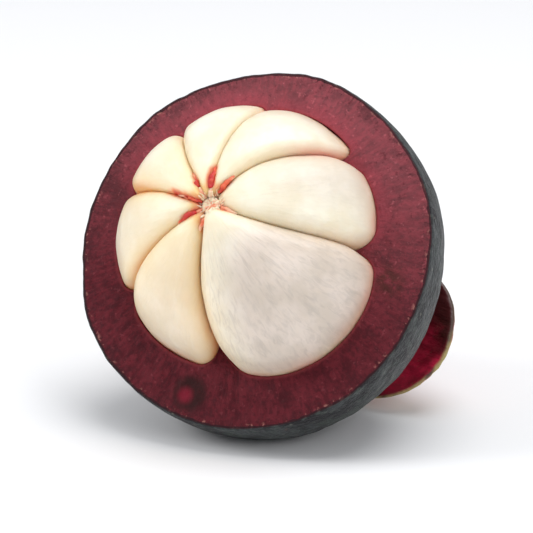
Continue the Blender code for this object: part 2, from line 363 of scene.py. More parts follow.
def skin_finish():
    """Near-black purple skin, finely pimpled, with a grey bloom, rubbed patches and brown scars."""
    finish = Finish("mangosteen_skin", sheen_weight=0.04, sheen_roughness=0.5, specular_ior_level=0.28)
    finish.shader.inputs["Sheen Tint"].default_value = shade(196, 210, 206)
    patches = finish.between(finish.noise(0.009, 5, roughness=0.65), 0.42, 0.62)
    colour = finish.mix(patches, shade(17, 10, 17), shade(52, 55, 56))
    mottle = finish.between(finish.noise(0.0018, 5, roughness=0.65), 0.50, 0.68)
    colour = finish.over(colour, mottle, 0.6, 74, 82, 76)
    blots = finish.between(finish.noise(0.0030, 5, roughness=0.7), 0.54, 0.62)
    colour = finish.over(colour, blots, 0.7, 15, 10, 14)
    olive = finish.between(finish.noise(0.014, 5, distortion=0.6), 0.56, 0.70)
    colour = finish.over(colour, olive, 0.5, 54, 64, 54)
    scars = finish.between(finish.noise(0.0045, 6, finish.stretched((1, 1, 0.35)), 0.68), 0.64, 0.69)
    colour = finish.over(colour, scars, 0.5, 96, 64, 52)
    specks = finish.between(finish.cells(0.0021), 0.16, 0.06)
    colour = finish.over(colour, specks, 0.5, 126, 124, 114)
    scuffs = finish.between(finish.noise(0.0040, 7, roughness=0.8), 0.60, 0.68)
    colour = finish.over(colour, scuffs, 0.45, 108, 112, 106)
    under_calyx = finish.between(finish.stored("depth"), -22.5, -27.0)
    colour = finish.over(colour, under_calyx, 0.6, 74, 34, 40)
    roughness = finish.scaled(finish.noise(0.0011, 3), 0.30, 0.72)
    pimples = finish.noise(0.00050, 2)
    dents = finish.noise(0.0017, 4, roughness=0.65)
    normal = finish.relief(pimples, 0.00022, finish.relief(dents, 0.00075))
    return finish.wear(colour, roughness, normal)


def flesh_finish():
    """The rind's crimson flesh: mottled, fibrous, flecked, bruised, with a thin dark line at the skin,
    and painted light: a pale hazy copy towards the top as a painted highlight, a dark copy lower down as
    painted shade.
    """
    finish = Finish("mangosteen_rind_flesh", specular_ior_level=0.15)
    fibres = finish.noise(1.0, 5, finish.stored("grain", "Vector"), 0.62)
    colour = finish.mix(finish.between(fibres, 0.34, 0.66), shade(66, 10, 22), shade(132, 42, 54))
    mottle = finish.between(finish.noise(0.0036, 6, roughness=0.72), 0.42, 0.62)
    colour = finish.over(colour, mottle, 0.6, 134, 46, 58)
    dark = finish.between(finish.noise(0.0060, 7, roughness=0.75), 0.50, 0.63)
    colour = finish.over(colour, dark, 0.8, 56, 10, 20)
    grains = finish.between(finish.noise(0.0007, 4), 0.50, 0.68)
    colour = finish.over(colour, grains, 0.65, 48, 9, 18)
    # Painted light and shade: by the stored height, the flesh turns into a pale hazy copy (painted
    # highlight) towards the top and into a dark copy (painted shade) lower down.
    painted_light = finish.between(finish.stored("height"), -16.0, 30.0)
    high = finish.mix(0.38, colour, shade(160, 92, 98))
    colour = finish.mix(painted_light, finish.mix(0.62, colour, shade(66, 9, 19)), high)
    pits = finish.between(finish.noise(0.0011, 5, roughness=0.7), 0.55, 0.66)
    colour = finish.over(colour, pits, 0.5, 64, 16, 26)
    pale = finish.between(finish.stored("hollow"), 0.8, 0.1)
    colour = finish.over(colour, pale, 0.45, 156, 70, 76)
    flecks = finish.between(finish.noise(0.00085, 2), 0.62, 0.73)
    # The pale flecks are laid more strongly where the painted light falls.
    colour = finish.mix(finish.times(flecks, finish.scaled(painted_light, 0.12, 0.55)), colour, shade(184, 96, 104))
    # The pink zone by the segments is laid only where the painted light falls, so it is partly painted
    # light.
    inner = finish.times(finish.between(finish.stored("hollow"), 3.5, 0.3), painted_light)
    colour = finish.over(colour, inner, 0.35, 176, 66, 82)
    outer = finish.times(finish.between(finish.stored("edge"), 3.5, 0.5), finish.scaled(dark, 0.25, 0.9))
    colour = finish.over(colour, outer, 0.5, 66, 22, 30)
    not_mottled = finish.between(mottle, 1.0, 0.2)
    smudge = finish.times(finish.near(PLACE @ Vector(SMUDGE), 0.0042), not_mottled)
    colour = finish.over(colour, smudge, 0.75, 66, 34, 26)
    ring = finish.near(PLACE @ Vector(BRUISE_RING), 0.0036, 0.0020)
    colour = finish.mix(finish.times(ring, finish.scaled(grains, 0.9, 0.6)), colour, shade(44, 15, 16))
    bruise = finish.near(PLACE @ Vector(BRUISE), 0.0020, 0.0003)
    colour = finish.over(colour, bruise, 0.85, 124, 20, 42)
    dashes = finish.between(finish.noise(1.0, 4, finish.stored("ticks", "Vector"), 0.7), 0.56, 0.66)
    by_skin = finish.between(finish.stored("edge"), 2.4, 0.6)
    colour = finish.mix(finish.times(dashes, by_skin, 0.7), colour, shade(44, 14, 18))
    # Pale pink flecks along the edge by the skin.
    pale_rim_flecks = finish.between(finish.noise(0.0009, 3), 0.56, 0.64)
    at_skin = finish.times(finish.between(finish.stored("edge"), 1.0, 0.4), pale_rim_flecks)
    colour = finish.over(colour, at_skin, 0.5, 170, 116, 106)
    wavering = finish.scaled(finish.noise(0.0016, 3), 0.10, 0.62)
    under_skin = finish.maths("LESS_THAN", finish.stored("edge"), wavering)
    colour = finish.over(colour, under_skin, 0.85, 38, 16, 22)
    roughness = finish.scaled(finish.noise(0.0009, 3), 0.40, 0.80)
    fine = finish.relief(finish.noise(0.0007, 4), 0.00022)
    return finish.wear(colour, roughness, finish.relief(fibres, 0.00016, fine))


def segment_finish():
    """Juicy white flesh: translucent, stained with red juice round the core, with painted shade and glow
    in the seams: gold colour that stands in for light through the flesh in the grooves.
    """
    finish = Finish(
        "mangosteen_segment",
        subsurface_weight=1.0,
        subsurface_scale=0.0026,
        specular_ior_level=0.5,
        coat_weight=0.12,
        coat_roughness=0.25,
    )
    finish.shader.inputs["Subsurface Radius"].default_value = (1.0, 0.9, 0.8)
    cloud = finish.noise(0.006, 4)
    clouded = finish.between(cloud, 0.35, 0.70)
    cream = finish.mix(clouded, shade(235, 227, 205), shade(243, 238, 222))
    # A darker grey copy of the white flesh, partly its own tone and partly painted shade.
    grey = finish.mix(clouded, shade(212, 200, 187), shade(225, 213, 202))
    colour = finish.mix(finish.stored("grey"), cream, grey)
    grain = finish.noise(1.0, 5, finish.stored("grain", "Vector"), 0.62, 0.8)
    patchy = finish.scaled(finish.noise(0.0032, 3), 0.3, 1.0)
    veins = finish.times(finish.between(grain, 0.42, 0.70), patchy, finish.stored("veins"))
    colour = finish.mix(veins, colour, shade(182, 172, 163))
    # Painted shade and glow in the grooves: gold, turning deeper orange deepest in them.
    warmth_and_painted_crease_light = finish.stored("warmth_and_painted_crease_light")
    deep = finish.between(warmth_and_painted_crease_light, 0.45, 0.85)
    gold = finish.mix(deep, shade(246, 210, 146), shade(240, 176, 92))
    colour = finish.mix(warmth_and_painted_crease_light, colour, gold)
    colour = finish.mix(finish.stored("rosy"), colour, shade(224, 118, 116))
    juice = finish.stored("juice")
    stain = finish.mix(finish.between(juice, 0.35, 0.80), shade(238, 150, 104), shade(205, 44, 40))
    colour = finish.mix(finish.between(juice, 0.06, 0.50), colour, stain)
    roughness = finish.scaled(cloud, 0.28, 0.42)
    normal = finish.relief(grain, 0.00008, finish.relief(finish.noise(0.0024, 3), 0.00012))
    return finish.wear(colour, roughness, normal)


def core_finish():
    """Cream fibres stained red by the juice of the rind."""
    finish = Finish(
        "mangosteen_core",
        subsurface_weight=0.2,
        subsurface_scale=0.0004,
        specular_ior_level=0.4,
    )
    fibres = finish.noise(0.0005, 3)
    cream = finish.mix(fibres, shade(240, 214, 176), shade(252, 240, 214))
    red = finish.stored("red")
    stain = finish.mix(finish.between(red, 0.35, 0.95), shade(232, 116, 72), shade(184, 22, 34))
    stain = finish.over(stain, fibres, 0.4, 226, 90, 66)
    colour = finish.mix(finish.between(red, 0.05, 0.55), cream, stain)
    normal = finish.relief(fibres, 0.00020)
    return finish.wear(colour, finish.scaled(fibres, 0.30, 0.55), normal)


def sepal_finish():
    """A leathery sepal: outside pink and olive, inside crimson and brown, with a thin olive margin;
    inside, painted shade darkens it to brown towards its base and along one side, where the margin turns
    dark too.
    """
    finish = Finish("mangosteen_sepal", specular_ior_level=0.5, coat_weight=0.15, coat_roughness=0.3)
    grain = finish.stored("grain", "Vector")
    blotches = finish.noise(0.0080, 5, distortion=0.4)
    mottled = finish.between(blotches, 0.40, 0.60)
    outside = finish.mix(mottled, shade(186, 74, 88), shade(176, 166, 92))
    flush = finish.noise(0.0034, 4)
    outside = finish.over(outside, finish.between(flush, 0.46, 0.64), 0.65, 208, 112, 118)
    green = finish.times(finish.stored("green"), finish.scaled(blotches, 0.4, 1.3))
    outside = finish.mix(green, outside, shade(122, 142, 62))
    purple = finish.times(finish.stored("basal"), finish.scaled(flush, 0.2, 1.2))
    outside = finish.mix(purple, outside, shade(160, 70, 112))
    inside = finish.mix(finish.between(blotches, 0.40, 0.64), shade(124, 14, 36), shade(192, 32, 66))
    uneven = finish.scaled(finish.noise(0.0030, 4), -0.45, 0.45)
    # Dark brown inside: towards its edge, and as painted shade towards its base and along its shaded
    # side.
    tawny_and_painted_shade = finish.between(finish.plus(finish.stored("brown_and_painted_shade"), uneven), 0.25, 0.85)
    inside = finish.over(inside, tawny_and_painted_shade, 0.95, 54, 21, 18)
    colour = finish.mix(finish.between(finish.stored("face"), -0.1, 0.1), outside, inside)
    streaks = finish.between(finish.noise(1.0, 4, grain), 0.46, 0.70)
    colour = finish.over(colour, streaks, 0.25, 100, 38, 42)
    specks = finish.between(finish.cells(0.0014), 0.16, 0.06)
    colour = finish.over(colour, specks, 0.4, 92, 72, 48)
    # The margin turns dark on the painted-shade side and is olive elsewhere.
    away_from_shaded_side = finish.between(finish.stored("brown"), 0.9, 0.2)
    olive = finish.times(finish.between(finish.noise(0.0042, 3), 0.36, 0.56), away_from_shaded_side)
    rim = finish.mix(olive, shade(66, 42, 28), shade(158, 140, 84))
    colour = finish.mix(finish.stored("margin"), colour, rim)
    fine = finish.relief(finish.noise(0.0010, 3), 0.00012)
    normal = finish.relief(finish.noise(1.0, 4, grain), 0.00016, fine)
    return finish.wear(colour, finish.scaled(finish.noise(0.0012, 2), 0.32, 0.52), normal)


def stem_finish():
    """A green stalk flushed with red, ribbed, with a yellow rim and brown fibres at its cut end."""
    finish = Finish("mangosteen_stem", specular_ior_level=0.45)
    grain = finish.stored("grain", "Vector")
    streaks = finish.noise(1.0, 5, grain)
    flush = finish.between(finish.noise(0.0050, 4), 0.42, 0.62)
    bark = finish.mix(flush, shade(142, 138, 58), shade(150, 62, 62))
    bark = finish.over(bark, finish.between(streaks, 0.45, 0.70), 0.6, 104, 92, 44)
    bark = finish.mix(finish.stored("foot"), bark, shade(178, 176, 84))
    fibrous = finish.between(finish.noise(0.0009, 4), 0.38, 0.62)
    end = finish.mix(fibrous, shade(86, 34, 24), shade(178, 104, 66))
    colour = finish.mix(finish.stored("pith"), bark, end)
    colour = finish.mix(finish.stored("rim"), colour, shade(220, 206, 112))
    normal = finish.relief(streaks, 0.00030, finish.relief(finish.noise(0.0008, 3), 0.00015))
    return finish.wear(colour, finish.scaled(streaks, 0.38, 0.66), normal)


# The white segments ---------------------------------------------------


def core_at(height):
    """The core line's place across the axis, at these heights."""
    top, bottom = np.array(CORE_TOP), np.array(CORE_BOTTOM)
    share = (np.asarray(height) - bottom[2]) / (top[2] - bottom[2])
    return bottom[:2] + share[..., None] * (top[:2] - bottom[:2])


def seam_frame(seam):
    """A seam's length at the cut face, and its directions outwards and sideways."""
    azimuth, reach = math.radians(seam[0]), seam[1]
    start = core_at(CUT_HEIGHT)
    end = reach * np.array([math.cos(azimuth), math.sin(azimuth)])
    length = np.linalg.norm(end - start)
    along = (end - start) / length
    return length, along, np.array([-along[1], along[0]])


def seam_side(points, seam):
    """Signed distance to a seam's curved sheet: positive on its counter-clockwise side."""
    length, along, across = seam_frame(seam)
    offset = points[:, :2] - core_at(points[:, 2])
    share = offset @ along / length
    return offset @ across - 4 * seam[2] * share * (1 - share)


def cluster_side(points, swell):
    """Signed distance to the cluster's ellipsoid, swollen by this much at each point."""
    radii = np.array(CLUSTER_RADII) + swell[:, None]
    offset = points - np.array(CLUSTER_CENTRE)
    reach = np.linalg.norm(offset / radii, axis=1)
    slope = np.linalg.norm(offset / radii**2, axis=1)
    return reach * (reach - 1) / np.maximum(slope, 1e-9)


def rounded_overlap(distances, rounding):
    """Signed distance to what lies inside all of several surfaces, with rounded edges."""
    pushed = sum(np.maximum(0, distance + rounding) ** 2 for distance in distances)
    deep = np.minimum(0, np.maximum.reduce(distances) + rounding)
    return np.sqrt(pushed) + deep - rounding


def core_distance(points):
    """The distance from the core line, straight across the axis."""
    return np.linalg.norm(points[:, :2] - core_at(points[:, 2]), axis=1)


def segment_side(points, number):
    """Signed distance to a segment's surface.

    It is the cluster between two seams and outside the core, and above the cut face its rounded sides
    are pressed against its neighbours, but never past the seams.
    """
    first, last = SEAMS[number], SEAMS[(number + 1) % len(SEAMS)]
    past_first, before_last = seam_side(points, first), -seam_side(points, last)
    from_core = core_distance(points)
    share = np.clip(past_first / np.maximum(past_first + before_last, 1e-9), 0, 1)
    at_seams, in_middle, _ = SEGMENTS[number]
    swell = at_seams + in_middle * 4 * share * (1 - share)
    own = first[3] + (last[3] - first[3]) * share
    rounding = TIP_ROUNDING + (own - TIP_ROUNDING) * np.minimum(1, from_core / ROUNDING_REACH)
    close = smooth(points[:, 2], CUT_HEIGHT, PRESSED_HEIGHT) * (PRESSED + PRESSED_SHARE * rounding)
    first_wall, last_wall = SEGMENT_GAP / 2 - past_first, SEGMENT_GAP / 2 - before_last
    sides = (first_wall - close, last_wall - close, CORE_RADIUS - from_core, cluster_side(points, swell))
    return np.maximum.reduce([rounded_overlap(sides, rounding), first_wall, last_wall])


def segment_frame(number):
    """A point well inside the segment, and three axes as long as it reaches outwards, sideways and up."""
    start, end = SEAMS[number][0], SEAMS[(number + 1) % len(SEAMS)][0]
    half = math.radians((end - start) % 360 / 2)
    middle = math.radians(start) + half
    outwards = np.array([math.cos(middle), math.sin(middle), 0.0])
    sideways = np.array([-outwards[1], outwards[0], 0.0])
    out = SEGMENTS[number][2]
    centre = np.append(core_at(0.0), 0.0) + out * outwards
    reach = CLUSTER_RADII[0] - out
    upwards = [0.0, 0.0, CLUSTER_RADII[2]]
    return centre, np.array([reach * outwards, out * math.sin(half) * sideways, upwards])


def reached(centre, directions, side, grow, nearest=0.0):
    """How far each ray from centre runs before side, a signed distance, is grow."""
    near = np.full(len(directions), nearest)
    far = np.full(len(directions), 2 * FRUIT_RADIUS)
    for _ in range(SEARCH_STEPS):
        middle = (near + far) / 2
        inside = side(centre + directions * middle[:, None]) < grow
        near, far = np.where(inside, middle, near), np.where(inside, far, middle)
    return near


def radial_grain(points, across, along):
    """Coordinates for fibres that run out from the core, with these scales round it and away from it."""
    offset = points[:, :2] - core_at(points[:, 2])
    turn = np.arctan2(offset[:, 1], offset[:, 0])
    away = along * (np.linalg.norm(offset, axis=1) - points[:, 2])
    return np.stack([across * np.cos(turn), across * np.sin(turn), away], axis=1)


SEGMENT_SIDES = 168
SEGMENT_RINGS = 96
# For each seam: how strongly its groove is painted gold, as painted shade and glow of light through the
# flesh, by the core and by the rind, and how rosy by the rind
SEAM_TINTS = (
    (0.30, 0.25, 0.10),
    (0.50, 0.30, 0.60),
    (0.60, 0.35, 0.05),
    (0.65, 0.45, 0.10),
    (0.60, 0.95, 0.15),
    (0.65, 0.80, 0.05),
    (0.60, 0.65, 0.10),
)
# Red juice in the grooves: seam, start and end from the core, half width, strength
STAINS = (
    (0, 0.0014, 0.0054, 0.00070, 0.45),
    (1, 0.0020, 0.0064, 0.00062, 0.60),
    (2, 0.0022, 0.0080, 0.00072, 0.95),
    (3, 0.0036, 0.0080, 0.00062, 0.60),
    (3, 0.0012, 0.0034, 0.00050, 0.40),
    (4, 0.0014, 0.0100, 0.00066, 0.65),
    (5, 0.0016, 0.0072, 0.00064, 0.75),
    (6, 0.0010, 0.0056, 0.00074, 0.60),
)
# For each segment: how clearly its veins show, how grey it is, which is partly its own tone and partly
# painted shade, and how much yellower its own tone is along its middle
SEGMENT_VEINS = (0.14, 0.08, 0.06, 0.06, 0.06, 0.12, 0.60)
SEGMENT_GREYS_AND_SHADE = (0.60, 0.08, 0.0, 0.0, 0.10, 0.45, 1.0)
SEGMENT_WARMTHS = (0.0, 0.0, 0.0, 0.08, 0.06, 0.20, 0.0)


def segment_tints(points, number):
    """How gold a segment is at its points, from its own yellower middle and from painted shade and glow
    in its grooves, how rosy, and how stained with juice.
    """
    following = SEAMS[(number + 1) % len(SEAMS)]
    warmth_and_painted_crease_light, rosy, juice = np.zeros((3, len(points)))
    away = core_distance(points)
    speckle = 0.9 + 0.25 * ripples(points, 0.0009, 6)
    for index, sign in ((number, 1), ((number + 1) % len(SEAMS), -1)):
        by_core, by_rind, rosy_by_rind = SEAM_TINTS[index]
        depth = np.maximum(0, sign * seam_side(points, SEAMS[index]))
        outer = smooth(away, 0.004, 0.017)
        strength = by_core + (by_rind - by_core) * outer
        # Painted shade and glow: gold colour along the groove, standing in for light through the
        # translucent flesh.
        warmth_and_painted_crease_light += strength * np.exp(-depth / (0.0010 + 0.0018 * strength * outer))
        rosy += rosy_by_rind * smooth(away, 0.012, 0.019) * np.exp(-depth / 0.0008)
        for seam, start, end, half_width, full in STAINS:
            if seam == index:
                run = smooth(away, start, start + MM) * smooth(away, end, end - 3 * MM)
                juice += full * run * speckle * np.exp(-((depth / half_width) ** 2))
    to_first = np.maximum(0, seam_side(points, SEAMS[number]))
    to_last = np.maximum(0, -seam_side(points, following))
    share = to_first / np.maximum(to_first + to_last, 1e-9)
    # The segment's own yellower tone along its middle.
    warmth_and_painted_crease_light += SEGMENT_WARMTHS[number] * 4 * share * (1 - share)
    tip = np.linalg.norm(points - np.array(CORE_TOP), axis=1)
    warmth_and_painted_crease_light += 0.35 * smooth(tip, 0.0060, 0.0020)
    juice += 0.40 * smooth(tip, 0.0036, 0.0012) * speckle
    # The same painted crease colour down where the segment meets the rind.
    at_rind = np.exp(-np.maximum(0, points[:, 2] - CUT_HEIGHT) / 0.0011)
    warmth_and_painted_crease_light += 0.50 * at_rind
    rosy += 0.50 * at_rind * (0.6 + 0.4 * ripples(points, 0.004, 8))
    return np.clip(warmth_and_painted_crease_light, 0, 0.85), np.clip(rosy, 0, 0.8), np.clip(juice, 0, 1)


def segment_mesh(number):
    """A segment, found along rays from a point inside it, faintly lumpy where it bulges."""

    def side(points):
        return segment_side(points, number)

    centre, axes = segment_frame(number)
    plain = np.full(SEGMENT_SIDES, SEGMENTS[number][0])
    turn = circle(SEGMENT_SIDES)
    rings = []
    for tilt in np.linspace(np.pi, 0, SEGMENT_RINGS + 1):
        flat, level = math.sin(tilt), np.full(SEGMENT_SIDES, math.cos(tilt))
        directions = np.stack([flat * np.cos(turn), flat * np.sin(turn), level], axis=1) @ axes
        directions /= np.linalg.norm(directions, axis=1)[:, None]
        points = centre + directions * reached(centre, directions, side, 0.0)[:, None]
        outside = smooth(cluster_side(points, plain), -0.0030, -0.0004)
        lumps = 0.16 * MM * ripples(points, 0.0075, 20 + number)
        lumps += 0.03 * MM * ripples(points, 0.0020, 40 + number)
        rings.append(points + directions * (lumps * outside)[:, None])
    poles = rings[0].mean(axis=0), rings[-1].mean(axis=0)
    mesh = ring_mesh(f"white_segment_{number + 1}", rings[1:-1], *poles)
    points = points_of(mesh)
    for key, values in zip(("warmth_and_painted_crease_light", "rosy", "juice"), segment_tints(points, number)):
        store(mesh, key, values)
    store(mesh, "veins", SEGMENT_VEINS[number] * smooth(core_distance(points), 0.004, 0.012))
    # The grey fades to cream by the segment's first seam, which paints that edge lighter, as painted
    # light.
    by_seam = smooth(np.abs(seam_side(points, SEAMS[number])), 0.0018, 0.0100)
    store(mesh, "grey", SEGMENT_GREYS_AND_SHADE[number] * by_seam * smooth(core_distance(points), 0.002, 0.012))
    store(mesh, "grain", radial_grain(points, *SEGMENT_GRAIN))
    return mesh


def add_segments():
    finish = segment_finish()
    for number in range(len(SEGMENTS)):
        name = f"segment_{number + 1}"
        add_piece(f"white_{name}", segment_mesh(number), [name], [finish])


# The rind -------------------------------------------------------------


def flesh_side(points):
    """Signed distance to all of the white segments."""
    return np.minimum.reduce([segment_side(points, number) for number in range(len(SEGMENTS))])


def hollow_side(points):
    """Signed distance to the space that the segments and the core fill."""
    core = np.maximum(core_distance(points) - CORE_CHANNEL, CORE_BOTTOM[2] - MM - points[:, 2])
    return np.minimum(flesh_side(points), core)


def hollow_reach(start, directions):
    """How far each ray from a point on the core line runs before it meets the hollow's wall."""
    return reached(start, directions, hollow_side, HOLLOW_GAP, NARROWEST_HOLLOW)


def skin_relief(points):
    """How far the skin stands proud of the plain ellipsoid."""
    broad, fine = ripples(points, 0.013, 1), ripples(points, 0.0040, 2)
    return (0.20 * broad + 0.06 * fine + 0.035 * ripples(points, 0.0017, 5)) * MM


def skin_points(turn, height):
    """Points of the skin at these angles round the axis, at one height."""
    level = math.sqrt(1 - (height / FRUIT_HALF_HEIGHT) ** 2)
    radius = FRUIT_RADIUS * level
    points = np.stack([radius * np.cos(turn), radius * np.sin(turn), np.full(len(turn), height)], axis=1)
    outward = points / np.array([FRUIT_RADIUS, FRUIT_RADIUS, FRUIT_HALF_HEIGHT]) ** 2
    outward /= np.linalg.norm(outward, axis=1)[:, None]
    nick = smooth(height, CUT_HEIGHT - 1.4 * MM, CUT_HEIGHT)
    nicks = 0.045 * ripples(points, 0.0032, 3) + 0.035 * ripples(points, 0.0010, 4)
    proud = skin_relief(points) + nick * nicks * MM
    return points + outward * proud[:, None]


def rind_mesh():
    """The rind: up the skin, in across the cut face, and down into the hollow that the segments fill."""
    turn = circle(RIND_COLUMNS)
    level = np.stack([np.cos(turn), np.sin(turn), np.zeros(RIND_COLUMNS)], axis=1)
    middle = np.append(core_at(CUT_HEIGHT), CUT_HEIGHT)
    lean = level @ middle
    reach = np.sqrt(lean**2 - middle[:2] @ middle[:2] + FACE_RADIUS**2) - lean
    rim = middle + level * reach[:, None]
    skin_turn = np.arctan2(rim[:, 1], rim[:, 0])
    outer = skin_points(skin_turn, CUT_HEIGHT) - level * RIM_BEVEL
    inner = middle + level * hollow_reach(middle, level)[:, None]
    rings, edges, hollows = [], [], []

    def add(ring, on_face=False):
        rings.append(ring)
        from_skin = np.linalg.norm(outer - ring, axis=1) / MM
        edges.append(from_skin if on_face else np.full(RIND_COLUMNS, FAR))
        hollows.append(np.linalg.norm(inner - ring, axis=1) / MM)

    highest = math.asin((CUT_HEIGHT - RIM_BEVEL) / FRUIT_HALF_HEIGHT)
    for slope in np.linspace(-math.pi / 2, highest, SKIN_ROWS + 1)[1:]:
        add(pressed(skin_points(skin_turn, FRUIT_HALF_HEIGHT * math.sin(slope))))
    for share in np.linspace(0, 1, FACE_ROWS):
        row = outer + (inner - outer) * share
        inset = np.linalg.norm(row - inner, axis=1)
        waves = 0.07 * MM * ripples(row, 0.0050, 11), 0.03 * MM * ripples(row, 0.0012, 12)
        row[:, 2] = CUT_HEIGHT + waves[0] + waves[1]
        row[:, 2] -= 0.14 * MM * np.exp(-inset / (0.25 * MM))
        add(row, on_face=True)
    for row in range(1, HOLLOW_ROWS):
        dip = math.pi / 2 * row / HOLLOW_ROWS
        directions = level * math.cos(dip) - np.array([0, 0, math.sin(dip)])
        add(middle + directions * hollow_reach(middle, directions)[:, None])
    down = np.array([[0.0, 0.0, -1.0]])
    bottom = middle + down[0] * hollow_reach(middle, down)[0]

    mesh = ring_mesh("cut_rind", rings, np.array([0, 0, -FRUIT_HALF_HEIGHT]), bottom)
    points = points_of(mesh)
    store_rows(mesh, "edge", edges, FAR, FAR)
    store_rows(mesh, "hollow", hollows, FAR, FAR)
    # How far a point lies up, and a little to the right, on the cut face as the fruit rests, which sets
    # the flesh's painted light and shade.
    store(mesh, "height", (points[:, 1] + 0.15 * points[:, 0]) / MM)
    store(mesh, "depth", points[:, 2] / MM)
    store(mesh, "grain", radial_grain(points, *FLESH_GRAIN))
    store(mesh, "ticks", radial_grain(points, *FLESH_TICKS))
    skin_faces = RIND_COLUMNS * (SKIN_ROWS + 1)
    of_skin = np.arange(len(mesh.polygons)) < skin_faces
    mesh.polygons.foreach_set("material_index", of_skin.astype(np.int32))
    return mesh


def add_rind():
    add_piece("cut_rind", rind_mesh(), ["rind"], [flesh_finish(), skin_finish()])


# The core -------------------------------------------------------------

# Strands in the grooves: seam, start and end from the core, half width, how red
STRANDS = (
    (0, 0.0016, 0.0044, 0.00046, 0.45),
    (1, 0.0020, 0.0056, 0.00048, 0.75),
    (2, 0.0012, 0.0032, 0.00040, 0.25),
    (2, 0.0026, 0.0066, 0.00062, 1.00),
    (3, 0.0014, 0.0036, 0.00036, 0.35),
    (3, 0.0036, 0.0068, 0.00042, 0.80),
    (4, 0.0014, 0.0064, 0.00032, 0.70),
    (5, 0.0014, 0.0032, 0.00036, 0.45),
    (5, 0.0024, 0.0062, 0.00050, 0.95),
    (6, 0.0014, 0.0042, 0.00054, 0.55),
)
FIBRES = 44  # round the core's head
STRAND_SIDES = 14
STRAND_STEPS = 26
FIBRE_STEPS = 16
LOWEST, HIGHEST = 0.006, 0.024  # heights that strands and fibres lie between
COLUMN_SIDES = 96
COLUMN_RINGS = 30
HEAD_RINGS = 14
COLUMN_RADIUS = 0.95 * CORE_RADIUS
COLUMN_TOP = CORE_TOP[2] + 0.2 * MM
COLUMN_DOME = 0.8 * MM


def laid_line(along, across, sideways, distances, height_above):
    """Points this far out along one direction, and sideways along another, laid on the segments."""
    low, high = np.full(len(distances), LOWEST), np.full(len(distances), HIGHEST)

    def at(height):
        flat = core_at(height) + distances[:, None] * along + sideways[:, None] * across
        return np.column_stack([flat, height])

    for _ in range(LAYING_STEPS):
        middle = (low + high) / 2
        column = np.maximum(core_distance(at(middle)) - COLUMN_RADIUS, middle - COLUMN_TOP)
        inside = np.minimum(flesh_side(at(middle)), column) < height_above
        low, high = np.where(inside, middle, low), np.where(inside, high, middle)
    return at(low)


def strand_mesh(name, path, half_width, red, seed):
    """A strand with an uneven skin along a path, with blunt ends."""
    heading = np.gradient(path, axis=0)
    heading /= np.linalg.norm(heading, axis=1)[:, None]
    side = np.cross(heading, [0.0, 0.0, 1.0])
    side /= np.linalg.norm(side, axis=1)[:, None]
    over = np.cross(side, heading)
    share = np.linspace(0, 1, len(path))
    radii = half_width * np.maximum(0, 4 * share * (1 - share)) ** 0.45 * (1.2 - 0.6 * share)
    turn = circle(STRAND_SIDES)
    rings = []
    for point, radius, beside, above in zip(path, radii, side, over):
        ring = point + radius * (np.cos(turn)[:, None] * beside + 0.8 * np.sin(turn)[:, None] * above)
        rings.append(ring + (ring - point) * 0.35 * ripples(ring, 0.0006, seed)[:, None])
    mesh = ring_mesh(name, rings[1:-1], path[0], path[-1])
    run = np.concatenate([[0], np.repeat(share[1:-1], STRAND_SIDES), [1]])
    patchy = 1.0 - 0.45 * run + 0.18 * ripples(points_of(mesh), 0.0007, seed + 1)
    store(mesh, "red", red * patchy)
    return mesh


def column_mesh():
    """The column between the segments, with a small rounded head."""
    top, bottom = np.array(CORE_TOP), np.array(CORE_BOTTOM)
    shoulder = COLUMN_TOP - COLUMN_DOME
    turn = circle(COLUMN_SIDES)
    rings = []

    def add(middle, reach, height):
        across, aside = middle[0] + reach * np.cos(turn), middle[1] + reach * np.sin(turn)
        ring = np.stack([across, aside, np.full(COLUMN_SIDES, height)], axis=1)
        rings.append(ring + 0.10 * MM * ripples(ring, 0.0008, 60)[:, None] * np.array([0.5, 0.5, 1.0]))

    for height in np.linspace(bottom[2], shoulder, COLUMN_RINGS):
        add(core_at(height), COLUMN_RADIUS, height)
    for bend in np.linspace(0, math.pi / 2, HEAD_RINGS)[1:-1]:
        add(top, COLUMN_RADIUS * math.cos(bend), shoulder + COLUMN_DOME * math.sin(bend))
    column = ring_mesh("column", rings, bottom, np.append(top[:2], COLUMN_TOP))
    store(column, "red", 0.10 + 0.30 * np.clip(ripples(points_of(column), 0.0010, 61), 0, 1))
    return column


def core_mesh():
    """The column, the short fibres round its head, and the strands that run out along the grooves."""
    meshes = [column_mesh()]
    for number, (seam, start, end, half_width, red) in enumerate(STRANDS):
        distances = np.linspace(start, end, STRAND_STEPS)
        length, along, across = seam_frame(SEAMS[seam])
        share = distances / length
        run = np.column_stack([distances, distances, distances])
        wander = 0.12 * MM * ripples(run, 0.0016, 80 + number)
        sideways = 4 * SEAMS[seam][2] * share * (1 - share) + wander
        path = laid_line(along, across, sideways, distances, 0.3 * half_width)
        meshes.append(strand_mesh(f"strand_{number}", path, half_width, red, 70 + number))
    chance = np.random.default_rng(9)
    for number in range(FIBRES):
        turn = 2 * math.pi * (number + chance.uniform(-0.3, 0.3)) / FIBRES
        ends = chance.uniform(0.2, 0.9), chance.uniform(1.7, 2.7)
        distances = np.linspace(*ends, FIBRE_STEPS) * MM
        along = np.array([math.cos(turn), math.sin(turn)])
        across = np.array([-along[1], along[0]])
        bend = chance.uniform(-0.5, 0.5) * (distances - distances[0]) ** 2 / (2 * MM)
        path = laid_line(along, across, bend, distances, 0.0)
        half_width = chance.uniform(0.14, 0.28) * MM
        red = chance.uniform(0, 0.4)
        meshes.append(strand_mesh(f"fibre_{number}", path, half_width, red, 100 + number))
    return joined("core_and_strands", meshes)


# The calyx ------------------------------------------------------------

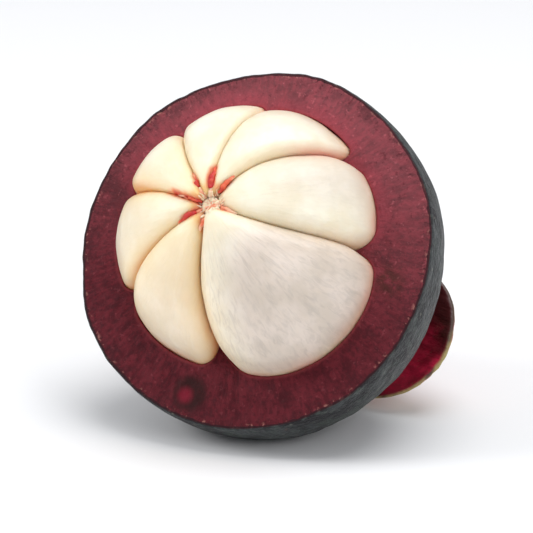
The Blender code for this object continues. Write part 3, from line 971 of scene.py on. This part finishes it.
SEPAL_RINGS = 40
SEPAL_SIDES = 120
MARGIN_THICKNESS = 0.35 * SEPAL_EDGE
SEPAL_GRAIN = (220, 1300, 300)  # per metre along, across and through a sepal


def sepal_points(sepal, along, aside, lift):
    """Points of a sepal, this far along and aside on its middle sheet, and lifted off the fruit."""
    azimuth, length, half_width, base_heading, tip_heading, cupping = sepal
    start, end = math.radians(base_heading), math.radians(tip_heading)
    bend = (end - start) / length
    heading = start + bend * along
    lift = lift - cupping * (aside / half_width) ** 2
    out = SEPAL_BASE[0] + (np.sin(heading) - math.sin(start)) / bend - lift * np.sin(heading)
    height = SEPAL_BASE[1] + (np.cos(heading) - math.cos(start)) / bend - lift * np.cos(heading)
    turn = math.radians(azimuth)
    across = out * math.cos(turn) - aside * math.sin(turn)
    back = out * math.sin(turn) + aside * math.cos(turn)
    return np.column_stack([across, back, height])


def sepal_mesh(name, seed):
    """A cupped round blade, puffed in the middle, with a thin wavy margin."""
    sepal = SEPALS[name]
    length, half_width = sepal[1], sepal[2]
    middle = SEPAL_WIDEST * length
    turn = circle(SEPAL_SIDES)
    forward = np.cos(turn)
    forward = np.where(forward < 0, -(np.abs(forward) ** BASE_BLUNTNESS), forward)
    chance = np.random.default_rng(seed)
    phases = chance.uniform(0, 2 * math.pi, 3)
    wave = sum(np.sin(rate * turn + phase) / rate for rate, phase in zip((3, 5, 8), phases))
    rings, faces, margins, brown_and_shade_rows, shaded_side_rows, basals, grains = [], [], [], [], [], [], []
    for face in (1, -1):
        for share in np.linspace(1, 0.02, SEPAL_RINGS)[:: -face]:
            along = middle + share * np.where(forward > 0, length - middle, middle) * forward
            taper = 1 - SEPAL_TAPER * np.maximum(0, 1 - along / middle) ** 2
            aside = share * half_width * taper * np.sin(turn) * (1 + 0.03 * share * wave)
            puffed = (SEPAL_THICKNESS - MARGIN_THICKNESS) * math.sqrt(1 - share**4)
            thickness = MARGIN_THICKNESS + puffed
            lift = face * thickness / 2 + 0.55 * MM * wave * share**5
            sheet = np.column_stack([along, aside, np.zeros(SEPAL_SIDES)])
            lift = lift + 0.16 * MM * ripples(sheet, 0.0045, seed + 1) * (1 - 0.5 * share)
            lift = lift + face * 0.05 * MM * ripples(sheet * [0.3, 1, 1], 0.0009, seed + 2)
            rings.append(pressed(sepal_points(sepal, along, aside, lift)))
            faces.append(np.full(SEPAL_SIDES, -face))
            # Painted shade: one side of the blade, and its base, are stored to be darkened brown.
            brown = smooth(aside / half_width, -0.2, 0.7)
            shaded_side_rows.append(brown)
            brown_and_shade_rows.append(np.clip(share**2 + 0.6 * (1 - along / middle) + 0.6 * brown, 0, 1))
            basals.append(0.8 * smooth(along, 9 * MM, 1 * MM))
            margins.append(np.full(SEPAL_SIDES, 0.9 * smooth(share, 0.982, 0.999)))
            grains.append(np.column_stack([along, aside, lift]) * SEPAL_GRAIN)
    half = np.array([[SEPAL_THICKNESS / 2], [-SEPAL_THICKNESS / 2]])
    poles = [sepal_points(sepal, np.array([middle]), np.zeros(1), lift)[0] for lift in half]
    mesh = ring_mesh(f"{name}_blade", rings, *poles)
    store_rows(mesh, "face", faces, -1, 1)
    store_rows(mesh, "margin", margins, 0, 0)
    store_rows(mesh, "brown_and_painted_shade", brown_and_shade_rows, 0, 0)
    store_rows(mesh, "brown", shaded_side_rows, 0, 0)
    store_rows(mesh, "basal", basals, 0, 0)
    store(mesh, "green", np.full(len(mesh.vertices), 0.55 if "inner" in name else 0.08))
    store(mesh, "grain", np.vstack([grains[0][:1], *grains, grains[-1][:1]]))
    return mesh


def add_calyx():
    finish = sepal_finish()
    for number, name in enumerate(SEPALS):
        add_piece(f"{name}_blade", sepal_mesh(name, 100 + 10 * number), [name], [finish])


STEM_SIDES = 132
BARK_RINGS = 64
CUT_RINGS = 20
END_DIP = 0.0013  # of the hollow in the stalk's cut end
STEM_GRAIN = (14, 260)  # round the stalk, per radian, and along it, per metre


def stem_mesh():
    """The stalk: ribbed, wider at its foot and at its cut end, which is hollowed and fibrous."""
    turn = circle(STEM_SIDES)
    beside, behind = np.cos(turn), np.sin(turn)
    start = -FRUIT_HALF_HEIGHT + 0.4 * MM
    end = -FRUIT_HALF_HEIGHT - STEM_LENGTH
    rings, piths, rims, feet, grains = [], [], [], [], []
    ribs = 0.5 * np.cos(7 * turn + 0.4) + 0.3 * np.cos(11 * turn + 2.0) + 0.25 * np.cos(17 * turn + 1.1)

    def add(radius, height, pith, rim, foot):
        rings.append(np.column_stack([radius * beside, radius * behind, height]))
        piths.append(np.full(STEM_SIDES, pith))
        rims.append(np.full(STEM_SIDES, rim))
        feet.append(np.full(STEM_SIDES, foot))
        around, lengthwise = STEM_GRAIN
        grains.append(np.column_stack([around * beside, around * behind, height * lengthwise]))

    for share in np.linspace(0, 1, BARK_RINGS):
        height = start + (end - start) * share
        radius = STEM_RADIUS + (COLLAR_RADIUS - STEM_RADIUS) * float(smooth(share, 0.24, 0.06))
        radius += (STEM_END_RADIUS - STEM_RADIUS) * float(smooth(share, 0.60, 0.97))
        radius = radius * (1 + 0.045 * ribs * (1 - 0.4 * share))
        level = np.full(STEM_SIDES, height)
        if share == 1:
            radius = radius - 0.22 * MM
        sheet = np.column_stack([radius * beside, radius * behind, level])
        radius = radius + 0.07 * MM * ripples(sheet, 0.0022, 90)
        rim = 0.75 * float(smooth(share, 0.93, 0.99))
        add(radius, level, 0.0, rim, 0.7 * float(smooth(share, 0.30, 0.08)))
    for share in np.linspace(0.93, 0.04, CUT_RINGS):
        radius = STEM_END_RADIUS * share * (1 + 0.03 * ribs * share)
        sheet = np.column_stack([radius * beside, radius * behind, np.full(STEM_SIDES, end)])
        sunk = END_DIP * float(smooth(share, 0.80, 0.30))
        rough = 0.22 * MM * ripples(sheet, 0.0009, 91) * float(smooth(share, 0.95, 0.75))
        pith = float(smooth(share, 0.86, 0.66))
        add(radius, end + sunk + rough, pith, 0.85 * float(smooth(share, 0.70, 0.84)), 0.0)
    tip = np.array([0.0, 0.0, end + END_DIP])
    mesh = ring_mesh("stalk", rings, np.array([0, 0, start]), tip)
    store_rows(mesh, "pith", piths, 0, 1)
    store_rows(mesh, "rim", rims, 0, 0)
    store_rows(mesh, "foot", feet, 0, 0)
    store(mesh, "grain", np.vstack([grains[0][:1], *grains, grains[-1][:1]]))
    return mesh


# The studio -----------------------------------------------------------

CAMERA_AZIMUTH, CAMERA_ELEVATION = math.radians(21), math.radians(17)
CAMERA_DISTANCE = 0.60
VIEW_WIDTH = 0.086  # of what the camera frames, at the fruit
AIM_OFFSET = (0.0010, 0.0, -0.0020)  # of what it looks at, from the fruit's middle
FLOOR_HALF_SIDE = 3.0
# Lamps: name, place, width, power
SOFTBOXES = (
    ("softbox_above", (0.10, 0.05, 0.70), 0.55, 2.95),
    ("softbox_right", (0.55, -0.45, 0.40), 0.35, 1.2),
    ("softbox_left", (-0.60, -0.30, 0.45), 0.35, 2.05),
)


def add_floor():
    mesh = bpy.data.meshes.new("floor")
    side = FLOOR_HALF_SIDE
    corners = [(-side, -side, 0), (side, -side, 0), (side, side, 0), (-side, side, 0)]
    mesh.from_pydata(corners, [], [(0, 1, 2, 3)])
    floor = bpy.data.objects.new("floor", mesh)
    bpy.context.scene.collection.objects.link(floor)
    finish = Finish(
        "plain_floor",
        roughness=0.7,
        specular_ior_level=0.2,
        base_color=(0.86, 0.86, 0.87, 1),
    )
    mesh.materials.append(finish.material)


def add_softbox(name, place, size, power):
    light = bpy.data.lights.new(name, "AREA")
    light.shape = "DISK"
    light.size = size
    light.energy = power
    lamp = bpy.data.objects.new(name, light)
    bpy.context.scene.collection.objects.link(lamp)
    lamp.location = Vector(place)
    lamp.rotation_euler = (FRUIT_MIDDLE - lamp.location).to_track_quat("-Z", "Y").to_euler()


def add_light():
    world = bpy.data.worlds.new("studio")
    world.use_nodes = True
    background = world.node_tree.nodes["Background"]
    background.inputs["Color"].default_value = (0.95, 0.97, 1.0, 1)
    background.inputs["Strength"].default_value = 0.60
    bpy.context.scene.world = world
    for softbox in SOFTBOXES:
        add_softbox(*softbox)


def add_camera():
    back = Vector((
        math.sin(CAMERA_AZIMUTH) * math.cos(CAMERA_ELEVATION),
        -math.cos(CAMERA_AZIMUTH) * math.cos(CAMERA_ELEVATION),
        math.sin(CAMERA_ELEVATION),
    ))
    aim = FRUIT_MIDDLE + Vector(AIM_OFFSET)
    data = bpy.data.cameras.new("camera")
    data.sensor_width = 36
    data.lens = data.sensor_width * CAMERA_DISTANCE / VIEW_WIDTH
    camera = bpy.data.objects.new("camera", data)
    bpy.context.scene.collection.objects.link(camera)
    camera.location = aim + back * CAMERA_DISTANCE
    camera.rotation_euler = (-back).to_track_quat("-Z", "Y").to_euler()
    bpy.context.scene.camera = camera
    bpy.context.scene.view_settings.view_transform = "Standard"


add_camera()
add_light()
add_floor()
add_rind()
add_segments()
add_piece("core_and_strands", core_mesh(), ["core"], [core_finish()])
add_calyx()
add_piece("stalk", stem_mesh(), ["stem"], [stem_finish()])
